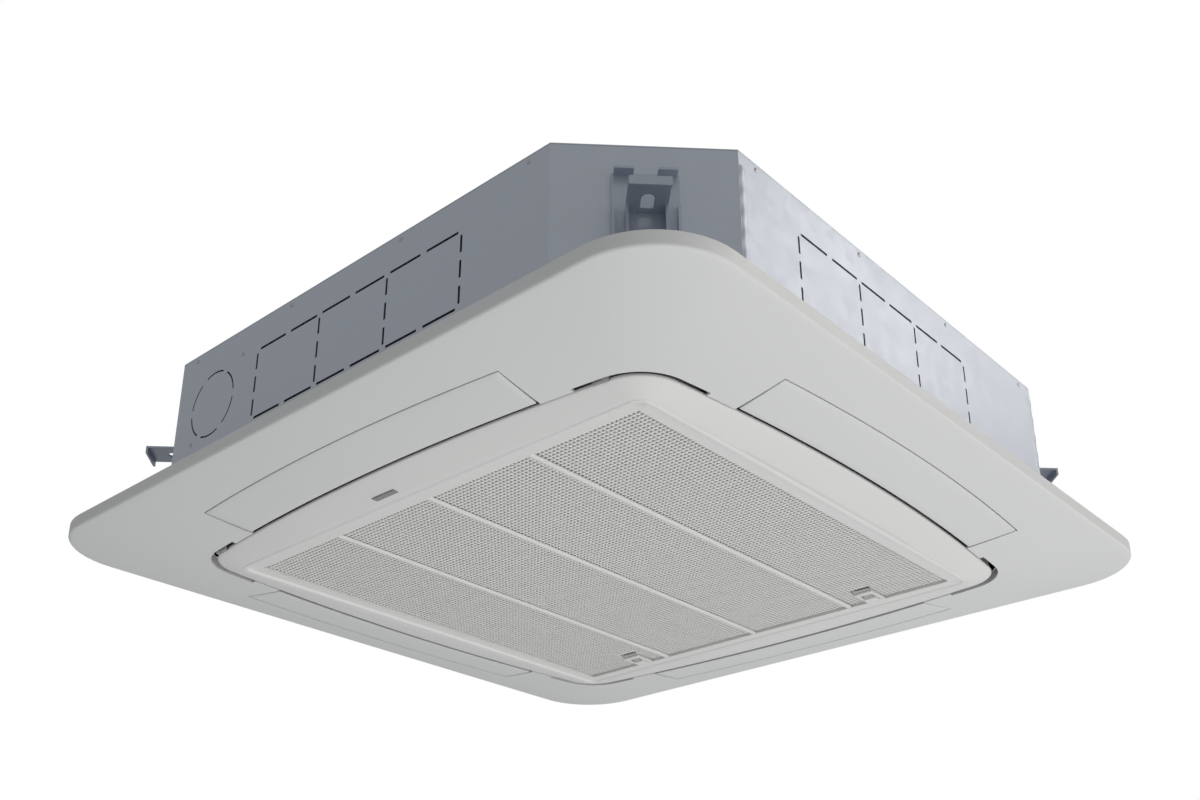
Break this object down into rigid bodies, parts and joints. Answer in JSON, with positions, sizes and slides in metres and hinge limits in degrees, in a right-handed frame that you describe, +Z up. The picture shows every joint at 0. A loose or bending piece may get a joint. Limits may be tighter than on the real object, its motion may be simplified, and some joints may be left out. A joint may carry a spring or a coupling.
{
  "type": "ceiling cassette air conditioner",
  "caption": "Square ceiling cassette air conditioner with a curved panel, air flaps on each side, a hinged intake grille and a chamfered sheet-metal casing above the ceiling.",
  "frame": {"origin": "on the vertical centre line of the unit, in the ceiling plane, which is the top of the panel's lip", "axes": "+Z up into the ceiling void, -Y the front of the panel where the grille hinges, +X the right side"},
  "size_m": [0.95, 0.95, 0.2261],
  "materials": {
    "panel_plastic": "fine satin, off-white",
    "grille_plastic": "satin, off-white",
    "zinc_sheet": "galvanised, bluish grey",
    "bracket_steel": "galvanised plate",
    "seal_foam": "closed-cell foam strip, black",
    "insulation_foam": "moulded white foam",
    "fin_aluminium": "finned block",
    "copper_pipe": "drawn copper",
    "brass_nut": "turned",
    "fan_plastic": "moulded, dark",
    "motor_steel": "pressed shell",
    "bolt_steel": "zinc plated",
    "bush_rubber": "moulded, black",
    "circuit_green": "coated board",
    "filter_net": "net in a frame",
    "badge_grey": "blank"
  },
  "bodies": {
    "casing": {"panel_frame": "panel_plastic", "panel_seal": "seal_foam", "flap_motor_front": "motor_steel", "flap_motor_right": "motor_steel", "flap_motor_back": "motor_steel", "flap_motor_left": "motor_steel", "panel_screw_front_right": "bolt_steel", "panel_screw_back_right": "bolt_steel", "panel_screw_back_left": "bolt_steel", "panel_screw_front_left": "bolt_steel", "casing_wrap": "zinc_sheet", "casing_top": "zinc_sheet", "insulation_liner": "insulation_foam", "pipe_cover_plate": "zinc_sheet", "cable_bush": "bush_rubber", "hanger_bracket_front_right": "bracket_steel", "hanger_bracket_back_right": "bracket_steel", "hanger_bracket_back_left": "bracket_steel", "hanger_bracket_front_left": "bracket_steel", "heat_exchanger": "fin_aluminium", "coil_end_plate_back": "fin_aluminium", "coil_end_plate_left": "fin_aluminium", "gas_pipe": "copper_pipe", "liquid_pipe": "copper_pipe", "gas_flare_nut": "brass_nut", "liquid_flare_nut": "brass_nut", "drain_pan": "insulation_foam", "drain_bung": "bush_rubber", "drain_pump": "fan_plastic", "pump_bracket": "zinc_sheet", "float_switch": "grille_plastic", "drain_hose": "filter_net", "drain_socket": "grille_plastic", "bell_mouth": "fan_plastic", "control_box": "zinc_sheet", "control_box_cover": "zinc_sheet", "circuit_board": "circuit_green", "terminal_block": "fan_plastic", "fan_motor": "motor_steel", "motor_mount_1": "bush_rubber", "motor_mount_2": "bush_rubber", "motor_mount_3": "bush_rubber"},
    "fan": {"fan_wheel": "fan_plastic", "motor_shaft": "bolt_steel", "fan_washer": "bolt_steel", "fan_nut": "bolt_steel"},
    "flap_front": {"air_flap_front": "panel_plastic"},
    "flap_right": {"air_flap_right": "panel_plastic"},
    "flap_back": {"air_flap_back": "panel_plastic"},
    "flap_left": {"air_flap_left": "panel_plastic"},
    "grille": {"grille_frame": "panel_plastic", "grille_lattice": "grille_plastic", "blank_badge": "badge_grey"},
    "latch_left": {"grille_latch_left": "grille_plastic"},
    "latch_right": {"grille_latch_right": "grille_plastic"},
    "filter": {"air_filter": "filter_net"},
    "impeller": {"pump_impeller": "grille_plastic"},
    "float_ring": {"float": "insulation_foam"}
  },
  "joints": [
    {"name": "fan_spin", "type": "hinge", "parent": "casing", "child": "fan", "pos_m": [0, 0, 0.08], "axis": [0, 0, 1], "continuous": true},
    {"name": "flap_front_tilt", "type": "hinge", "parent": "casing", "child": "flap_front", "pos_m": [0, -0.36725, -0.0235], "axis": [1, 0, 0], "range_deg": [0, 60]},
    {"name": "flap_right_tilt", "type": "hinge", "parent": "casing", "child": "flap_right", "pos_m": [0.36725, 0, -0.0235], "axis": [0, 1, 0], "range_deg": [0, 60]},
    {"name": "flap_back_tilt", "type": "hinge", "parent": "casing", "child": "flap_back", "pos_m": [0, 0.36725, -0.0235], "axis": [-1, 0, 0], "range_deg": [0, 60]},
    {"name": "flap_left_tilt", "type": "hinge", "parent": "casing", "child": "flap_left", "pos_m": [-0.36725, 0, -0.0235], "axis": [0, -1, 0], "range_deg": [0, 60]},
    {"name": "grille_swing", "type": "hinge", "parent": "casing", "child": "grille", "pos_m": [0, -0.3454, -0.031], "axis": [-1, 0, 0], "range_deg": [0, 90]},
    {"name": "latch_left_slide", "type": "slide", "parent": "grille", "child": "latch_left", "axis": [0, -1, 0], "range_m": [0, 0.008], "stiffness_N_per_m": 300, "springref_m": -0.004},
    {"name": "latch_right_slide", "type": "slide", "parent": "grille", "child": "latch_right", "axis": [0, -1, 0], "range_m": [0, 0.008], "stiffness_N_per_m": 300, "springref_m": -0.004},
    {"name": "filter_lift", "type": "slide", "parent": "grille", "child": "filter", "axis": [0, 0, 1], "range_m": [0, 0.008]},
    {"name": "impeller_spin", "type": "hinge", "parent": "casing", "child": "impeller", "pos_m": [-0.33, 0.322, 0.02], "axis": [0, 0, 1], "continuous": true},
    {"name": "float_rise", "type": "slide", "parent": "casing", "child": "float_ring", "axis": [0, 0, 1], "range_m": [0, 0.0115]}
  ]
}
